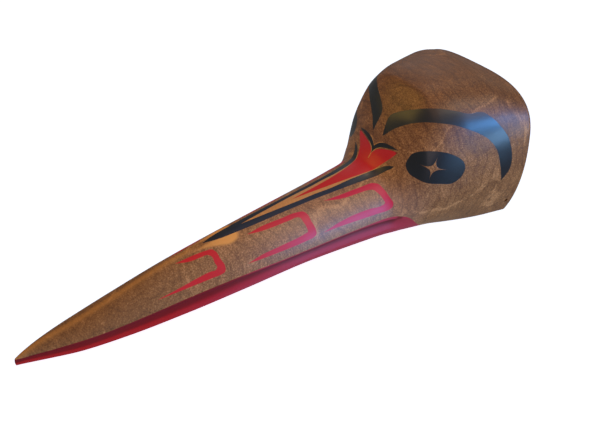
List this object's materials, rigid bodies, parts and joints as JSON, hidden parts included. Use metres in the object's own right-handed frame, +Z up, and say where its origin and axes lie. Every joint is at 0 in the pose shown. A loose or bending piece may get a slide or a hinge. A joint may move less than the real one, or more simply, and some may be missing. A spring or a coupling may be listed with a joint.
{
  "type": "bird mask",
  "caption": "Carved wooden mask of a long-billed bird: a hollow head shell that is open behind and below, with a tapering bill and a carved mouth line.",
  "frame": {"origin": "middle of the bounding box, on the surface that the mask lies on", "axes": "+Z up with the mask lying on its sole, the bill points along -Y, the back rim faces +Y, and the bird's left side is +X"},
  "size_m": [0.209, 0.632, 0.1905],
  "materials": {
    "painted_wood": "oiled wood with satin black and red paint"
  },
  "bodies": {
    "root": {"mask": "painted_wood"}
  },
  "joints": []
}
